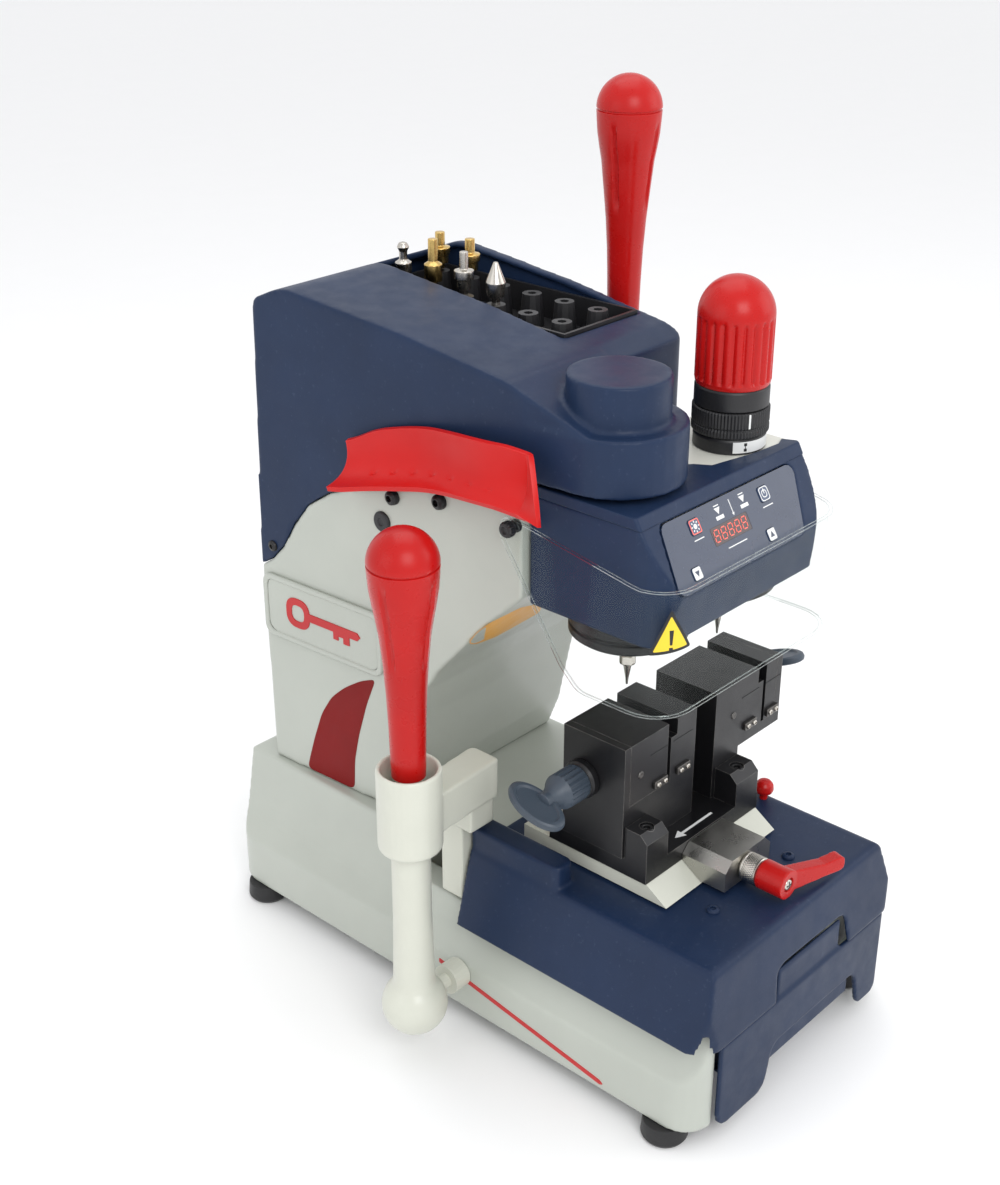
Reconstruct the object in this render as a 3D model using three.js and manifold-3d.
// Key duplicating machine for dimple keys: a C-shaped cast frame with a belt-driven cutter and a
// tracer side by side in a head that a hand lever lowers, over a two-way sliding carriage with a
// double vise that a second lever steers. Millimetres, +Z up, operator at -Y, floor at z = 0.
import * as THREE from 'three';
import { mergeVertices } from 'three/addons/utils/BufferGeometryUtils.js';
import Module from 'manifold-3d';

const wasm = await Module();
wasm.setup();

// ---------------------------------------------------------------- driving dimensions
const gap = 0.3;                       // between pieces that touch
const origin = { x: -9.545, y: -4 };   // centre of the footprint box, moved to x = y = 0

const foot = { x: 110, y: 200, radius: 16, height: 15 };
const base = { halfWidth: 120, front: -228, back: 226, bottom: 15, top: 122, crease: 54 };
const wall = { left: 92, right: 93, backY: 200, leftTaper: 0.0538, rightTaper: 0.02 };
const arm = { front: -42, bottom: 333, top: 398 };
const hood = { top: 503, thickness: 4, rearEdge: 490 };
const nose = { x: -31, y: -80, radius: 45, bottom: 416.5, shoulder: 455 };
const bump = { radius: 33.5, top: 485 };
const tray = { left: 5, right: 83, front: -5, back: 178, floor: 460 };
const head = { left: -73, right: 105, back: -44, bottom: 328, top: 412, topFront: -128 };
const ridge = { y: -156, z: 366 };     // lower edge of the sloping control face
const cutter = { x: -28, y: -92 };
const tracer = { x: 73, y: -93 };
const tip = 268;                       // height of both tool tips with the head up
const ball = { x: -165, y: -22, z: 46, radius: 23 };
const collar = { bottom: 176, top: 237, radius: 22, centre: 206 };
const feed = { x: 135, y: 49, z: 345, top: 630 };
const shield = { left: -84, right: 114, front: -163, pivotY: -39, pivotZ: 385 };
const vise = { left: -70, right: 58, front: -146, back: -62, bottom: 153.3, top: 166 };
const block = { front: -127, back: -75, top: 250 };
const knob = { y: -93, z: 216 };       // axis of both wing knobs
const cover = { top: 140, bottom: 82, front: -234, back: -17 };
const motorAt = { x: -42, y: 118 };
const clampScrew = { x: -7, z: 154 };  // axis of the carriage clamp, parallel to Y
const controlTilt = Math.atan2(head.topFront - ridge.y, head.top - ridge.z);

// ---------------------------------------------------------------- materials
function finish(colour, roughness, metalness = 0) {
  return new THREE.MeshStandardMaterial({ color: colour, roughness, metalness });
}
const greyWhite = finish('#c9cec8', 0.45);
const cream = finish('#dcdccb', 0.45);
const navy = finish('#2b3a57', 0.4);
const red = finish('#d21f26', 0.35);
const black = finish('#16171a', 0.45, 0.3);
const blackPlastic = finish('#1c1d20', 0.5);
const slate = finish('#3a4654', 0.5);
const steel = finish('#b9b7b0', 0.3, 0.9);
const brass = finish('#c6a14a', 0.3, 0.9);
const rubber = finish('#121214', 0.8);
const panelBlue = finish('#26324b', 0.35);
const clear = new THREE.MeshStandardMaterial({
  color: '#e8eef0', roughness: 0.1, transparent: true, opacity: 0.25,
});

// ---------------------------------------------------------------- shapes and booleans
function solid(shape) {
  if (!(shape instanceof THREE.BufferGeometry)) return shape;
  const bare = shape.clone();
  bare.deleteAttribute('normal');
  bare.deleteAttribute('uv');
  const merged = mergeVertices(bare, 1e-4);
  return new wasm.Manifold(new wasm.Mesh({
    numProp: 3,
    vertProperties: new Float32Array(merged.attributes.position.array),
    triVerts: new Uint32Array(merged.index.array),
  }));
}

const join = (...shapes) => shapes.map(solid).reduce((a, b) => a.add(b));
const cut = (body, ...tools) => tools.map(solid).reduce((a, b) => a.subtract(b), solid(body));
const common = (...shapes) => shapes.map(solid).reduce((a, b) => a.intersect(b));

function geometryOf(body) {
  const mesh = solid(body).getMesh();
  const geometry = new THREE.BufferGeometry();
  geometry.setAttribute('position', new THREE.BufferAttribute(mesh.vertProperties, 3));
  geometry.setIndex(new THREE.BufferAttribute(mesh.triVerts, 1));
  geometry.computeVertexNormals();
  return geometry;
}

const range = (count) => Array.from({ length: count }, (_, i) => i);

// Corners are [a, b] or [a, b, radius]; a radius turns the corner into an arc.
function outline(corners, steps = 3) {
  const count = corners.length;
  const path = [];
  corners.forEach(([a, b, radius = 0], i) => {
    const corner = new THREE.Vector2(a, b);
    if (radius === 0) {
      path.push(corner);
      return;
    }
    const before = new THREE.Vector2(...corners[(i + count - 1) % count].slice(0, 2));
    const after = new THREE.Vector2(...corners[(i + 1) % count].slice(0, 2));
    const inward = before.sub(corner).normalize();
    const outward = after.sub(corner).normalize();
    const half = Math.acos(inward.dot(outward)) / 2;
    const reach = radius / Math.tan(half);
    const bisector = inward.clone().add(outward).normalize();
    const centre = corner.clone().addScaledVector(bisector, radius / Math.sin(half));
    const start = corner.clone().addScaledVector(inward, reach).sub(centre).angle();
    const end = corner.clone().addScaledVector(outward, reach).sub(centre).angle();
    const turn = THREE.MathUtils.euclideanModulo(end - start + Math.PI, 2 * Math.PI) - Math.PI;
    range(steps + 1).forEach((k) => {
      const angle = start + turn * k / steps;
      path.push(new THREE.Vector2(Math.cos(angle), Math.sin(angle)).multiplyScalar(radius).add(centre));
    });
  });
  return path;
}

function extruded(path, depth) {
  return new THREE.ExtrudeGeometry(new THREE.Shape(path), { depth, bevelEnabled: false });
}

// Plan outline in X and Y, from one height to another.
function plan(corners, z0, z1, steps) {
  return extruded(outline(corners, steps), z1 - z0).translate(0, 0, z0);
}

// Side outline in Y and Z, from one x to another.
function side(corners, x0, x1, steps) {
  const turn = new THREE.Matrix4().makeBasis(
    new THREE.Vector3(0, 1, 0), new THREE.Vector3(0, 0, 1), new THREE.Vector3(1, 0, 0));
  return extruded(outline(corners, steps), x1 - x0).applyMatrix4(turn).translate(x0, 0, 0);
}

// Front outline in X and Z, from one y to another.
function front(corners, y0, y1, steps) {
  return extruded(outline(corners, steps), y1 - y0).rotateX(Math.PI / 2).translate(0, y1, 0);
}

function box(x0, x1, y0, y1, z0, z1) {
  return new THREE.BoxGeometry(x1 - x0, y1 - y0, z1 - z0)
    .translate((x0 + x1) / 2, (y0 + y1) / 2, (z0 + z1) / 2);
}

function rounded(a0, a1, b0, b1, radius) {
  return [[a0, b0, radius], [a1, b0, radius], [a1, b1, radius], [a0, b1, radius]];
}

// A turned piece on the Z axis from [radius, height] pairs, listed upwards.
function turned(profile, sides = 16) {
  const points = profile.map(([radius, height]) => new THREE.Vector2(radius, height));
  return new THREE.LatheGeometry(points, sides).rotateX(Math.PI / 2);
}

function disc(radius, z0, z1, sides = 16) {
  return turned([[0, z0], [radius, z0], [radius, z1], [0, z1]], sides);
}

const shapeOf = (body) => (body instanceof THREE.BufferGeometry ? body : geometryOf(body));
const alongX = (body) => shapeOf(body).rotateY(Math.PI / 2);
const alongY = (body) => shapeOf(body).rotateX(-Math.PI / 2);

function dome(radius, z, from, count) {
  return range(count + 1).map((i) => {
    const angle = from + (Math.PI / 2 - from) * i / count;
    return [i === count ? 0 : radius * Math.cos(angle), z + radius * Math.sin(angle)];
  });
}

// Flutes around the Z axis, cut by small upright rods.
function fluted(body, radius, flutes, rodRadius, z0, z1) {
  const rods = range(flutes).map((i) => {
    const angle = 2 * Math.PI * i / flutes;
    return disc(rodRadius, z0, z1, 6).translate(radius * Math.cos(angle), radius * Math.sin(angle), 0);
  });
  return cut(body, ...rods);
}

const leftAt = (y) => (wall.backY - y) * wall.leftTaper - wall.left;
const rightAt = (y) => wall.right - (wall.backY - y) * wall.rightTaper;

const machine = new THREE.Group();

function add(name, body, material, parent = machine) {
  const mesh = new THREE.Mesh(geometryOf(body), material);
  mesh.name = name;
  parent.add(mesh);
}

// ---------------------------------------------------------------- base
function baseCasting() {
  const w = base.halfWidth;
  const section = [[-w, base.bottom], [w, base.bottom], [w, base.crease], [w - 14, 70, 40], [97, 118],
    [97, base.top], [-97, base.top], [-97, 118], [14 - w, 70, 40], [-w, base.crease]];
  const shell = common(
    front(section, base.front, base.back),
    plan(rounded(-w, w, base.front, base.back, 22), 0, 200, 5));
  const underside = front([[-112, 0], [112, 0], [112, 50], [103, 60], [-103, 60], [-112, 50]],
    base.front + 10, base.back - 8);
  const frontOpening = box(-96, 101, base.front - 1, -216, 0, 200);
  const carriageWell = box(-80, 80, -206, -17, 66, 200);
  const throatWell = box(-80, 80, -18, 46, 66, 116);
  const leverOpening = box(-130, -60, -20, 46, 90, 200);
  const linkPassage = box(-100, -60, -40, 46, 92, 116);
  const coverRelief = [[-130, -86], [86, 130]].map(([x0, x1]) => box(x0, x1, base.front - 1, -214, 95, 130));
  const hollow = cut(shell, ...coverRelief, underside, frontOpening, carriageWell, throatWell, leverOpening,
    linkPassage);
  const runners = [-1, 1].map((s) => join(
    box(Math.min(69 * s, 75 * s), Math.max(69 * s, 75 * s), -200, -60, 25, 62),
    box(Math.min(64 * s, 70 * s), Math.max(64 * s, 70 * s), -200, -60, 25, 30.7)));
  return join(hollow, ...runners);
}

const footPlaces = {
  front_left_foot: [-1, -1], front_right_foot: [1, -1], rear_right_foot: [1, 1], rear_left_foot: [-1, 1],
};

function rubberFoot(sideways, lengthways) {
  return turned([[0, 0], [foot.radius - 2, 0], [foot.radius, 3], [foot.radius - 1, foot.height - gap],
    [0, foot.height - gap]]).translate(sideways * foot.x, lengthways * foot.y, 0);
}

// Dovetail rail bolted to the base, along Y; the saddle's groove is wider by the gap.
function saddleRail() {
  return front([[-22, 66.3], [22, 66.3], [22, 76], [30, 86], [-30, 86], [-22, 76]], -205.7, 45.7);
}

// ---------------------------------------------------------------- frame
// Upper edge of the painted column, which is also the lower edge of the hood.
const columnEdge = [[204, 286], [193, 293], [179, 308], [168, 327], [152, 347], [130, 362],
  [100, 374], [40, 389], [arm.front, arm.top]];

function frameWidth(inset, y0, y1, z0, z1) {
  return plan([[leftAt(y0) + inset, y0], [rightAt(y0) - inset, y0], [rightAt(y1) - inset, y1],
    [leftAt(y1) + inset, y1]], z0, z1);
}

function column() {
  const throat = [[arm.front, arm.bottom], [-38, 328], [-16, 308], [6, 283], [32, 253], [43, 235],
    [53, 206], [65, 150], [76, base.top + gap]];
  const profile = [...throat, [202, base.top + gap], ...columnEdge];
  const body = common(side(profile, -100, 100), frameWidth(0, -60, 210, 100, 500));
  const core = common(side([[60, 300], [190, 260], [190, 372], [60, 372]], -100, 100),
    frameWidth(8, -60, 210, 100, 500));
  const slideWay = box(-31, 31, arm.front - 1, -24, 318, 402);
  const motorSeat = disc(41, 372, 400).translate(motorAt.x, motorAt.y, 0);
  return cut(join(body, core), slideWay, motorSeat);
}

function hoodSolid(inset) {
  const t = inset;
  const lift = t > 0 ? -12 : gap;
  const edge = columnEdge.slice(1).map(([y, z]) => [y, z + lift]);
  const profile = [[204 - t, 286 + lift], ...edge, [-70, arm.top + lift], [-70, nose.shoulder + 8 - t],
    [arm.front, 473 - t], [-25, 479 - t, 20], [60, 492 - t], [168, hood.top - t, 40],
    [197 - t, hood.rearEdge - t, 8]];
  const main = common(side(profile, -100, 100), plan([
    [leftAt(-43.6) + t, -43.6 + t], [rightAt(-43.6) - t, -43.6 + t, 12], [rightAt(210) - t, 210],
    [leftAt(210) + t, 210]], 200, 600, 5));
  const floor = t > 0 ? nose.bottom - 20 : nose.bottom;
  const noseBody = disc(nose.radius - t, floor, nose.shoulder - t, 32).translate(nose.x, nose.y, 0);
  const neck = plan([[nose.x - nose.radius + t, nose.y], [nose.x + nose.radius - t, nose.y],
    [nose.x + nose.radius - t, -30], [leftAt(-30) + t, -30]], floor, nose.shoulder - t);
  const cap = disc(bump.radius - t, floor, bump.top - t, 32).translate(nose.x, nose.y, 0);
  const slope = [[-95, 440], [-30, 440], [-30, 478 - t], [-60, 466 - t, 20], [-90, nose.shoulder - t]];
  const saddle = common(side(slope, -100, 100), plan([[nose.x - nose.radius + t + 3, -95], [nose.x + nose.radius - t - 3, -95],
    [nose.x + nose.radius - t - 3, -30], [leftAt(-30) + t, -30]], 200, 600));
  return join(main, noseBody, neck, cap, saddle);
}

function hoodShell() {
  const opening = box(tray.left, tray.right, tray.front, tray.back, tray.floor, 600);
  const inner = hoodSolid(hood.thickness);
  return cut(hoodSolid(0), inner, opening);
}

// ---------------------------------------------------------------- drive
const belt = { z: 431, width: 8, pitch: 19, pulleyTop: 444 };

function motor() {
  return join(
    turned([[0, 372 + gap], [38, 372 + gap], [40, 376], [40, 417], [36, 421], [0, 421]], 24),
    disc(6, 420, 448)).translate(motorAt.x, motorAt.y, 0);
}

function pulley(at, bore, z0, z1) {
  const body = turned([[0, z0], [belt.pitch + 2, z0], [belt.pitch + 2, belt.z - 1],
    [belt.pitch, belt.z - 0.5], [belt.pitch, belt.z + belt.width + 0.5],
    [belt.pitch + 2, belt.z + belt.width + 1], [belt.pitch + 2, z1], [0, z1]]);
  return (bore > 0 ? cut(body, disc(bore, z0 - 1, z1 + 1)) : solid(body)).translate(at.x, at.y, 0);
}

function driveBelt() {
  const reach = belt.pitch + gap;
  const loop = (radius) => {
    const ends = [motorAt, cutter].map(({ x, y }) => disc(radius, belt.z, belt.z + belt.width, 24)
      .translate(x, y, 0));
    const direction = new THREE.Vector2(cutter.x - motorAt.x, cutter.y - motorAt.y);
    const sideways = new THREE.Vector2(-direction.y, direction.x).normalize().multiplyScalar(radius);
    const corner = (p, s) => [p.x + s * sideways.x, p.y + s * sideways.y];
    const span = plan([corner(motorAt, 1), corner(cutter, 1), corner(cutter, -1), corner(motorAt, -1)],
      belt.z, belt.z + belt.width);
    return join(...ends, span);
  };
  return cut(loop(reach + 1.5), loop(reach));
}

// ---------------------------------------------------------------- tool tray
const postRows = [22, 60];
const postPlaces = postRows.flatMap((x) => range(6).map((i) => [x, 12 + i * 30]));

function toolTray() {
  const outer = box(tray.left + gap, tray.right - gap, tray.front + gap, tray.back - gap, tray.floor, 484);
  const tub = cut(outer, box(tray.left + 2.5, tray.right - 2.5, tray.front + 2.5, tray.back - 2.5,
    tray.floor + 2.5, 500));
  const seat = tray.floor + 2;
  const post = turned([[0, seat], [9, seat], [9, seat + 3], [7, seat + 24], [0, seat + 24]], 12);
  const bore = disc(3.3, seat + 4, seat + 30, 8);
  const at = (shape, [x, y]) => shape.clone().translate(x, y, 0);
  return cut(join(tub, ...postPlaces.map((place) => at(post, place))),
    ...postPlaces.map((place) => at(bore, place)));
}

function spareTool(kind) {
  const seat = tray.floor + 7.5;
  const shank = [[0, seat], [3, seat], [3, seat + 24]];
  const heads = [
    [[6, seat + 24], [6, seat + 32], [3, seat + 34], [3, seat + 40], [4.5, seat + 43], [3, seat + 46],
      [0, seat + 47]],
    [[6.5, seat + 24], [6.5, seat + 36], [3.5, seat + 38], [3.5, seat + 54], [0, seat + 54]],
    [[5, seat + 24], [5, seat + 30], [7, seat + 31], [7, seat + 37], [3, seat + 38], [3, seat + 50],
      [0, seat + 50]],
    [[6, seat + 24], [7, seat + 34], [1.5, seat + 48], [0, seat + 48]],
  ];
  return turned([...shank, ...heads[kind]], 14);
}

// ---------------------------------------------------------------- head
function headPlan(inset, z0, z1) {
  const r = 30 - inset;
  return plan([[head.left + inset, head.back], [head.left + inset, -160 + inset, r],
    [head.right - inset, -160 + inset, r], [head.right - inset, head.back]], z0, z1, 6);
}

function headSolid(inset, z0, z1) {
  const t = inset;
  const low = head.bottom - 5;
  return common(headPlan(t, z0, z1), side([[head.back, low], [head.back, head.top],
    [head.topFront + t * 0.6, head.top], [ridge.y + t, ridge.z], [-147 + t, low]], -100, 130));
}

function headCover() {
  const outer = headSolid(0, head.bottom, head.top - 6);
  const inner = headSolid(5, head.bottom - 1, head.top);
  const recess = onControlFace(plan([[-62, -56, 6], [74, -56, 6], [90, -9, 6], [-55, -9, 6]], -3.2, 10));
  return cut(outer, inner, recess);
}

function onControlFace(body) {
  return shapeOf(body).rotateX(controlTiltAngle).translate(0, head.topFront, head.top);
}

function headCasting() {
  const topPlate = headSolid(0.5, head.top - 6 + gap, head.top);
  const core = box(head.left + 8, head.right - 8, -118, head.back, 332, head.top - 5);
  const tongue = box(-30, 30, head.back - 1, -25, 335, 396);
  const bore = (at) => disc(9, 300, 430).translate(at.x, at.y, 0);
  return cut(join(topPlate, core, tongue), bore(cutter), bore(tracer));
}

const controlTiltAngle = Math.PI / 2 - controlTilt;
const buttonPlaces = {
  lamp_button: [-25.5, -19.3, 10], power_button: [49, -20, 10], down_button: [-39.8, -46, 8],
  up_button: [41, -46, 8],
};

function square([u, v, size], grow, z0, z1) {
  const h = size / 2 + grow;
  return plan(rounded(u - h, u + h, v - h, v + h, 1.5), z0, z1);
}

function controlPanel() {
  const edge = [[-61.6, -55.6, 6], [73.6, -55.6, 6], [89.4, -9.4, 6], [-54.6, -9.4, 6]];
  const plate = plan(edge, -3.2 + gap, 0.3);
  const holes = Object.values(buttonPlaces).map((place) => square(place, 0.35, -2.3, 2));
  const display = plan(rounded(-13.5, 26, -37, -25, 1), -0.4, 2);
  return onControlFace(cut(plate, display, ...holes));
}

function bearingFlange(at, radius) {
  const body = turned([[9, 305], [radius - 6, 305], [radius, 309], [radius, head.bottom - gap],
    [9, head.bottom - gap], [9, 305]], 32);
  return body.translate(at.x, at.y, 0);
}

function toolSpindle(at, top) {
  return turned([[0, tip], [1, tip], [3, 284], [5.5, 284.5], [5.5, 291], [7.5, 291.5], [7.5, 302], [8, 303],
    [8, top], [0, top]]).translate(at.x, at.y, 0);
}

const stack = { z: head.top + gap, post: 10 };

function scaleCollar() {
  return turned([[0, stack.z], [24.5, stack.z], [24.5, 422.7], [stack.post, 422.7], [stack.post, 465],
    [0, 465]], 28).translate(tracer.x, tracer.y, 0);
}

function indexRing() {
  return turned([[stack.post + gap, 423], [25, 423], [26, 424], [26, 440], [25, 441],
    [stack.post + gap, 441], [stack.post + gap, 423]], 32).translate(tracer.x, tracer.y, 0);
}

function depthKnob() {
  const bore = disc(stack.post + gap, 440, 466, 28);
  const body = turned([[0, 441.3], [25, 441.3], [25, 455], [24, 456], [25.5, 458], [25.5, 500],
    ...dome(25.5, 501.5, 0.05, 5)], 32);
  return cut(fluted(cut(body, bore), 27, 12, 3, 460, 498), bore).translate(tracer.x, tracer.y, 0);
}

// ---------------------------------------------------------------- shield
function chipShield() {
  const t = 3;
  const { left, right, front: y, pivotY, pivotZ } = shield;
  const wrap = (inset) => plan([[left - 1.5 + inset, -30 + (inset ? 10 : 0)],
    [left - 1.5 + inset, y - 1.5 + inset, 28 - inset], [right + 1.5 - inset, y - 1.5 + inset, 28 - inset],
    [right + 1.5 - inset, -30 + (inset ? 10 : 0)]], 280, 400, 6);
  const silhouette = side([[pivotY + 9, pivotZ + 7, 6], [pivotY + 9, pivotZ - 9, 6], [-81, 301, 20],
    [-96, 287, 16], [-170, 287], [-170, 373], [-142, 374], [-54, 389, 30]], -120, 140, 5);
  const pivotHole = alongX(disc(4, -120, 140, 16)).translate(0, pivotY, pivotZ);
  return cut(common(cut(wrap(0), wrap(t)), silhouette), pivotHole);
}

function shieldKnob(s) {
  const face = (s < 0 ? -shield.left : shield.right) + 1.8;
  const fromWall = (s < 0 ? -leftAt(shield.pivotY) : rightAt(shield.pivotY)) + gap;
  const body = join(disc(5.5, face, face + 6), disc(3.6, fromWall, face + 1, 14),
    disc(4.4, fromWall, face - 3.6));
  return shapeOf(body).rotateY(s * Math.PI / 2).translate(0, shield.pivotY, shield.pivotZ);
}

// ---------------------------------------------------------------- vise and carriage
const footTop = 190;

function visePlate() {
  const v = vise;
  const plate = box(v.left, v.right, v.front, v.back, v.bottom, v.top);
  const section = [[v.front, v.top - 1], [v.front, footTop - 6], [v.front + 6, footTop],
    [block.front - gap, footTop], [block.front - gap, v.top - 1]];
  const leftFoot = side(section, v.left, -47);
  const rightFoot = side(section, 31, 57);
  const holes = [-58.5, 44].map((x) => disc(5, 178, 200, 16).translate(x, -136.5, 0));
  return cut(join(plate, leftFoot, rightFoot), ...holes);
}

const jaw = { bottom: 204, margin: 6, slot: 5, travel: 3 };

function viseBlock(x0, x1, slotX, outer) {
  const y0 = block.front;
  const y1 = block.back;
  const body = box(x0, x1, y0, y1, vise.top + gap, block.top);
  const jawWay = outer < 0
    ? box(x0 + jaw.margin, slotX + jaw.slot, y0 - 1, y1 + 1, jaw.bottom, 260)
    : box(slotX - jaw.slot, x1 - jaw.margin, y0 - 1, y1 + 1, jaw.bottom, 260);
  const room = jaw.travel + 0.5;
  const ledge = box(slotX - jaw.slot + (outer < 0 ? room : 0), slotX + jaw.slot - (outer < 0 ? 0 : room),
    y0, y1, jaw.bottom - 1, 238);
  const screwBore = alongX(disc(5.5, Math.min(slotX, outer), Math.max(slotX, outer), 20))
    .translate(0, knob.y, knob.z);
  return cut(join(cut(body, jawWay), ledge), screwBore);
}

function movingJaw(x0, x1) {
  const body = box(x0, x1, block.front, block.back, jaw.bottom + gap, block.top);
  return cut(body, alongX(disc(5 + gap, x0 - 1, x1 + 1, 20)).translate(0, knob.y, knob.z));
}

const wingTilt = 1.23;

function wingKnob(face, direction, reach) {
  const s = direction;
  const along = (geometry) => (s < 0 ? geometry.rotateY(-Math.PI / 2) : geometry.rotateY(Math.PI / 2))
    .translate(face, knob.y, knob.z);
  const collarPart = turned([[0, gap], [13.5, gap], [13.5, 5], [12, 6], [12, 7], [0, 7]]);
  const boss = turned([[0, 6.5], [12.5, 6.5], [12.5, 26], [9, 30], [0, 30]]);
  const neck = turned([[0, 28], [8.5, 29], [5.5, 34], [6, 42], [9, 46], [0, 46]], 20);
  const screw = disc(5, -reach, 1);
  const wing = new THREE.CylinderGeometry(23, 23, 6, 24).scale(1, 1, 0.57).rotateZ(wingTilt)
    .translate(0, 0, 48);
  return along(geometryOf(join(collarPart, boss, neck, screw, wing)));
}

function wedgePlate() {
  const slope = [[-163, 142], [-38, 142], [-38, 153], [-146, 153]];
  return side(slope, -69, 57);
}

function clampBlock() {
  const section = [[-30, 143.3], [22, 143.3], [22, 158], [15, 165], [-23, 165], [-30, 158]];
  const body = front(section, -182, vise.front - gap);
  const clearWedge = side([[-166, 130], [-166, 140.5], [-145.5, 153.9], [-140, 153.9], [-140, 130]], -70, 58);
  return cut(body, clearWedge);
}

function clampSleeve() {
  return alongY(turned([[0, -196], [9, -196], [10.3, -195], [10.3, -184], [9, -182.3], [0, -182.3]]))
    .translate(clampScrew.x, 0, clampScrew.z);
}

// The arm leans outwards from its hub, away from the cover.
function clampLever() {
  const hub = disc(10.5, -217, -196.3, 28);
  const blade = [[0, -8.5, 4], [36, -4.5, 3], [53, -6.5, 4], [53, 4.5, 4], [36, 5.5, 3], [0, 8.5, 4]];
  const armPart = extruded(outline(blade), 9).translate(0, 0, -214);
  const leaning = armPart.translate(0, 0, 209.5).rotateY(0.3).translate(0, 0, -209.5);
  const screwHole = disc(5, -219, -214, 16);
  const raised = geometryOf(cut(join(hub, leaning), screwHole)).rotateZ(0.04);
  return alongY(raised).translate(clampScrew.x, 0, clampScrew.z);
}

const neckPost = { x: -6, y: -102, half: 18 };
const crossRail = { y: -102, end: 79 };

function carriageTable() {
  const { x, y, half } = neckPost;
  const slab = box(-36, 24, -132, -74, 97, 118);
  const post = box(x - half, x + half, y - half, y + half, 117, 142 - gap);
  const c = crossRail.y;
  const groove = side([[c - 10.4, 90], [c + 10.4, 90], [c + 10.4, 100.1], [c + 16.5, 110.4],
    [c - 16.5, 110.4], [c - 10.4, 100.1]], -60, 60);
  return cut(join(slab, post), groove);
}

function saddleBlock() {
  const slab = box(-crossRail.end, crossRail.end, -136, -74, 68, 93);
  const c = crossRail.y;
  const rail = side([[c - 10, 92], [c + 10, 92], [c + 10, 100], [c + 16, 110], [c - 16, 110], [c - 10, 100]],
    -crossRail.end, crossRail.end);
  const groove = front([[-22.4, 60], [22.4, 60], [22.4, 76.1], [30.5, 86.4], [-30.5, 86.4], [-22.4, 76.1]],
    -140, -70);
  return cut(join(slab, rail), groove);
}

function carriageArm() {
  const ring = turned([[0, collar.bottom], [21, collar.bottom], [collar.radius, collar.bottom + 2],
    [collar.radius, collar.top - 2], [21, collar.top], [0, collar.top]], 32).translate(ball.x, ball.y, 0);
  const bar = plan([[ball.x, -34], [-95, -30, 5], [-86, -30, 3], [-86, -4, 4], [ball.x, -10]], 181, 211);
  const upper = box(-112, -88, -27, -5, 160, 182);
  const lower = box(-108, -88, -14.5, 6, 97, 161);
  const link = plan([[-106, -12], [-106, 5], [-32, 5], [-32, -73.7], [-50, -73.7], [-50, -12]], 100, 112);
  const hourglass = [[0, 170], [20.2, 175.9], [19.4, 180], [13.5, 193], [13.5, 215], [19.6, 238], [0, 240]];
  const bore = turned(hourglass, 28).translate(ball.x, ball.y, 0);
  return cut(join(ring, bar, upper, lower, link), bore);
}

// ---------------------------------------------------------------- lever at the left
function leverColumn() {
  const post = turned([[0, 55], [14.5, 60], [14.5, 66], [13.4, 120], [13.3, 179], [9, 188], [9, 195],
    [12.6, 203], [12.6, 209], [9, 216], [8.5, 231], [0, 231]]).translate(ball.x, ball.y, 0);
  const sphere = turned([[0, ball.z - ball.radius], ...range(9).map((i) => {
    const angle = -Math.PI / 2 + Math.PI * (i + 1) / 10;
    return [ball.radius * Math.cos(angle), ball.z + ball.radius * Math.sin(angle)];
  }), [0, ball.z + ball.radius]], 24).translate(ball.x, ball.y, 0);
  const socket = alongX(disc(12.6, -12.6, 30, 24)).translate(ball.x, ball.y, ball.z);
  const mouth = alongX(turned([[0, 4], [12, 4], [16, 30], [0, 30]], 24)).translate(ball.x, ball.y, ball.z);
  return cut(join(post, sphere), socket, mouth);
}

function pivotBush() {
  const rounds = [[0, -11.5], [5, -11.2], [9, -8], [11.6, -3], [11.6, 3], [9, 8], [5, 11.2], [0, 11.5]];
  const body = turned(rounds, 24);
  return alongX(cut(body, disc(4.3, -5, 20, 16))).translate(ball.x, ball.y, ball.z);
}

function pivotStud() {
  const at = (body) => alongX(body).translate(0, ball.y, ball.z);
  return at(geometryOf(join(disc(4, ball.x - 4.5, -140, 16), disc(5.5, ball.x + 13, -130, 18),
    disc(11, -134, -base.halfWidth - gap, 24))));
}

function leverGrip(x, y, bottom, top) {
  const r = 23.2;
  const capZ = top - r;
  const taper = [[0, bottom], [11.5, bottom], [11.9, bottom + 12], [13, bottom + 60], [16.5, bottom + 100],
    [20.5, capZ - 26], [22.6, capZ - 14], [r, capZ - 12], [r, capZ]];
  const body = turned([...taper, ...dome(r, capZ, 0.15, 5)]);
  return body.translate(x, y, 0);
}

function leverBore(x, y, bottom) {
  return disc(8.8, bottom - 1, bottom + 12, 20).translate(x, y, 0);
}

// ---------------------------------------------------------------- lever at the right
function feedHub() {
  const inner = rightAt(feed.y + 24) + gap;
  const steps = [[0, inner], [24, inner], [24, 118], [20, 120], [20, 145], [18, 147], [0, 147]];
  const hub = alongX(turned(steps, 32))
    .translate(0, feed.y, feed.z);
  const shaft = disc(8, feed.z, 462, 20).translate(feed.x, feed.y, 0);
  return join(hub, shaft);
}

function feedGrip() {
  const bottom = 448;
  return cut(leverGrip(feed.x, feed.y, bottom, feed.top), disc(8 + gap, bottom - 1, 463, 20)
    .translate(feed.x, feed.y, 0));
}

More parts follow.
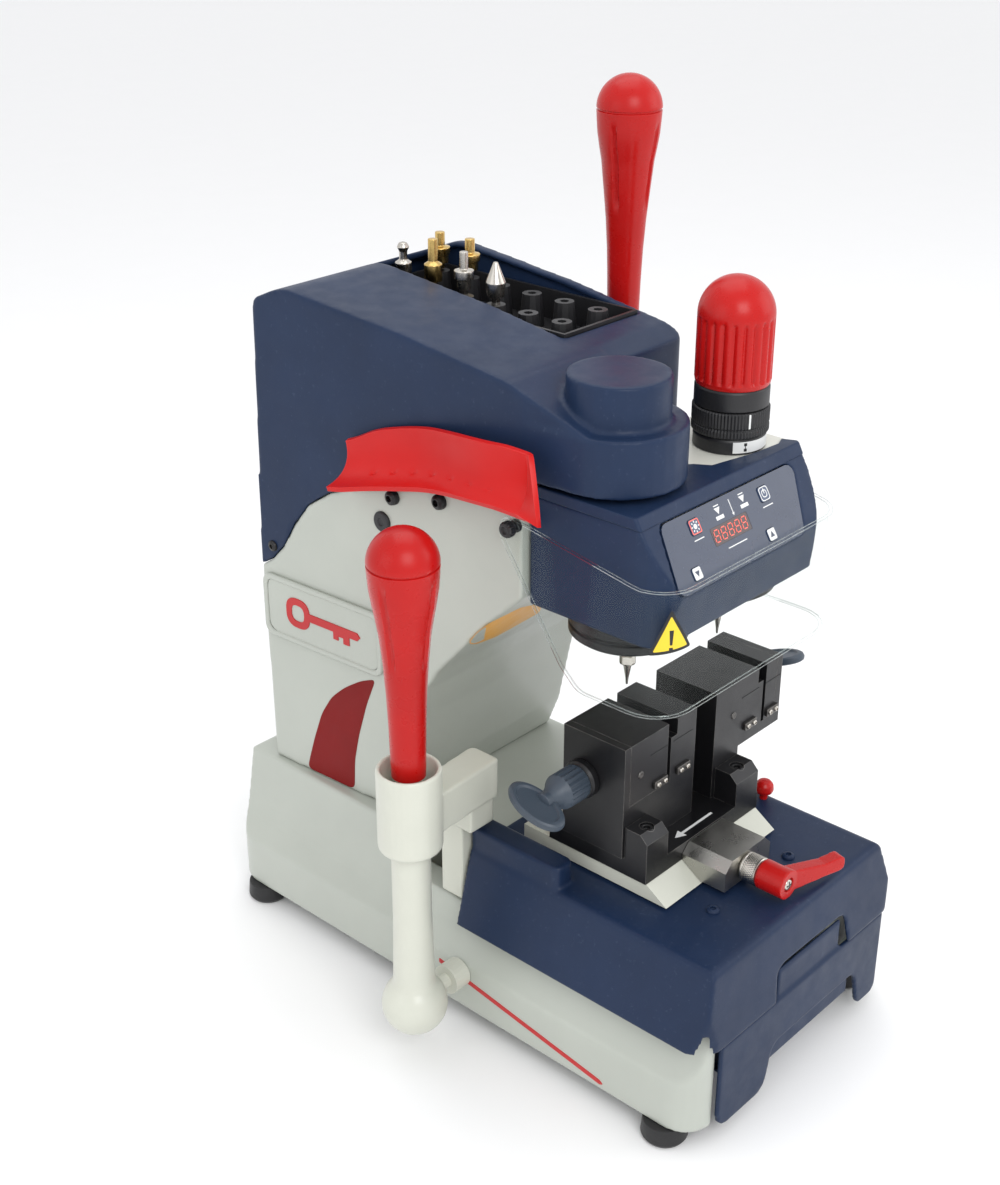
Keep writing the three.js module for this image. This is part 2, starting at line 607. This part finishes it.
// ---------------------------------------------------------------- covers and trim
function baseCover() {
  const loft = (t, z0, z1) => {
    const { bottom, top } = cover;
    const across = (z) => (z - bottom) / (top - bottom);
    const at = (z, low, high) => low + (high - low) * across(z);
    const ends = front([[at(z0, -118, -102) + t, z0], [at(z0, 115, 96) - t, z0], [at(z1, 115, 96) - t, z1, 5],
      [at(z1, -118, -102) + t, z1, 5]], -240, 0);
    const sides = side([[at(z0, cover.front, -226) + t, z0], [cover.back, z0], [cover.back, z1],
      [at(z1, cover.front, -226) + t, z1, 5]], -130, 130);
    const corners = plan([[-125, 10], [-118, cover.front, 22], [115, cover.front, 22], [125, 10]], z0, z1, 5);
    return common(ends, sides, t > 0 ? ends : corners);
  };
  const humpOut = plan([[-101, -96, 6], [-83, -96, 6], [-83, cover.back], [-101, cover.back]], 130, 157);
  const humpIn = plan([[-98, -93, 4], [-86, -93, 4], [-86, 0], [-98, 0]], 120, 154);
  const outer = join(loft(0, cover.bottom, cover.top), humpOut);
  const inner = join(loft(3, cover.bottom - 2, cover.top - 3), humpIn);
  const opening = box(-48, 36, -127, -49, 100, 200);
  const notch = front([[-40, 60], [55, 60], [48, 108, 8], [-33, 108, 8]], -250, -215);
  return cut(outer, inner, opening, notch);
}

function chipDrawer() {
  const face = front([[-95.6, 12, 12], [-42, 12, 12], [-34, 46, 10], [68, 46, 10], [76, 12, 8],
    [100.6, 12, 8], [100.6, 81], [-95.6, 81]], -232, -228.5, 3);
  const tongue = box(-31, 45, -230, -227, 78, 104);
  const tub = cut(box(-63.5, 63.5, -229, -62, 31, 56), box(-60.5, 60.5, -226, -65, 34, 80));
  const sideRails = [-1, 1].map((s) => box(Math.min(63 * s, 68.5 * s), Math.max(63 * s, 68.5 * s),
    -226, -62, 31, 34));
  return join(face, tongue, tub, ...sideRails);
}

// Pieces on the left wall: x counts outwards from the wall (negative), y from a wall station.
const station = 105;

function onLeftWall(body) {
  return shapeOf(body).rotateZ(Math.atan(wall.leftTaper)).translate(leftAt(station) - gap, station, 0);
}

function shelf() {
  const length = 163;
  const section = [[0, 386], [-6, 386], [-26, 377], [-29, 380], [-8, 391], [-4, 398], [-4, 413], [0, 413]];
  const lipped = front(section, -length, 0).translate(0, 0, -384).rotateX(-0.09).translate(0, 0, 384);
  const relief = box(-9.5, 10, -length - 20, -station - 34, 300, 500);
  return onLeftWall(cut(lipped, relief, box(0, 50, -300, 50, 300, 500)));
}

function namePlate() {
  return onLeftWall(side(rounded(-20, 91, 236, 280, 8), -2, 0));
}

const socket = { left: 28, right: 76, bottom: 136, top: 190, face: 203.5 };

function powerInlet() {
  const { left, right, bottom, top, face } = socket;
  const module = join(box(left, right, face - 14, face - 3, bottom, top),
    box(left - 3, right + 3, face - 0.2, face + 1.5, bottom - 3, top + 3),
    box(left, right, face - 4, face, bottom, top));
  const pins = box(left + 12, right - 12, face - 11, face + 5, bottom + 5, bottom + 23);
  const window = box(left + 8, right - 8, face - 11, face + 5, top - 23, top - 5);
  return cut(module, pins, window);
}

const rocker = { x: 52, z: 176, y: 199 };

function powerSwitch() {
  const body = side([[-5, -5], [3, -7.5], [6.5, -7.5], [4.8, 0], [6.5, 7.5], [3, 7.5], [-5, 5]], -13.6, 13.6);
  return body.translate(rocker.x, rocker.y, rocker.z);
}

// ---------------------------------------------------------------- assembly
add('base_casting', baseCasting(), greyWhite);
Object.entries(footPlaces).forEach(([name, place]) => add(name, rubberFoot(...place), rubber));
add('saddle_rail', saddleRail(), steel);
add('column_casting', cut(column(), box(socket.left - gap, socket.right + gap, socket.face - 15, 220,
  socket.bottom - gap, socket.top + gap)), greyWhite);
add('belt_hood', hoodShell(), navy);
add('motor', motor(), blackPlastic);
add('motor_pulley', pulley(motorAt, 6 + gap, belt.z - 3, belt.pulleyTop), steel);
add('spindle_pulley', pulley(cutter, 8 + gap, belt.z - 3, belt.pulleyTop), steel);
add('drive_belt', driveBelt(), rubber);
add('tool_tray', toolTray(), blackPlastic);
[[5, 0], [4, 1], [3, 2], [2, 3]].forEach(([post, kind], i) => {
  const [x, y] = postPlaces[post];
  add(`spare_tool_${i + 1}`, spareTool(kind).translate(x, y, 0), kind === 1 ? brass : steel);
});
add('key_shelf', shelf(), red);
add('name_plate', namePlate(), greyWhite);
add('power_inlet', powerInlet(), blackPlastic);
add('power_switch', powerSwitch(), blackPlastic);
add('base_cover', baseCover(), navy);
add('chip_drawer', chipDrawer(), navy);
add('pivot_stud', pivotStud(), cream);

add('head_casting', headCasting(), cream);
add('head_cover', headCover(), navy);
add('control_panel', controlPanel(), panelBlue);
Object.entries(buttonPlaces).forEach(([name, place]) => {
  add(name, onControlFace(square(place, 0, -1.3, 1)), name === 'lamp_button' ? red : navy);
});
add('cutter_bearing_flange', bearingFlange(cutter, 40), black);
add('tracer_bearing_flange', bearingFlange(tracer, 38), black);
add('cutter_spindle', toolSpindle(cutter, 458), steel);
add('tracer_spindle', toolSpindle(tracer, 404), steel);
add('scale_collar', scaleCollar(), black);
add('index_ring', indexRing(), black);
add('depth_knob', depthKnob(), red);

add('chip_shield', chipShield(), clear);
add('left_shield_knob', shieldKnob(-1), blackPlastic);
add('right_shield_knob', shieldKnob(1), blackPlastic);

add('carriage_saddle', saddleBlock(), steel);
add('carriage_table', carriageTable(), steel);
add('wedge_plate', wedgePlate(), cream);
add('carriage_arm', carriageArm(), cream);
add('vise_plate', visePlate(), black);
add('left_vise_block', viseBlock(-72, 5, -21, -80), black);
add('right_vise_block', cut(viseBlock(28, 108, 83.5, 112), box(58, 110, -140, -60, 160, 196)), black);
add('left_jaw', movingJaw(-72 + jaw.margin + gap, -21 - jaw.slot), black);
add('right_jaw', movingJaw(83.5 + jaw.slot, 108 - jaw.margin - gap), black);
add('left_wing_knob', wingKnob(-72, -1, 34), slate);
add('right_wing_knob', wingKnob(108, 1, 18), slate);
add('clamp_block', clampBlock(), steel);
add('clamp_sleeve', clampSleeve(), steel);
add('clamp_lever', clampLever(), red);

add('pivot_bush', pivotBush(), steel);
add('lever_column', leverColumn(), cream);
add('lever_grip', leverGrip(ball.x, ball.y, 231 + gap, 406), red);

add('feed_hub', feedHub(), steel);
add('feed_grip', feedGrip(), red);

machine.position.set(-origin.x, -origin.y, 0);

export default machine;
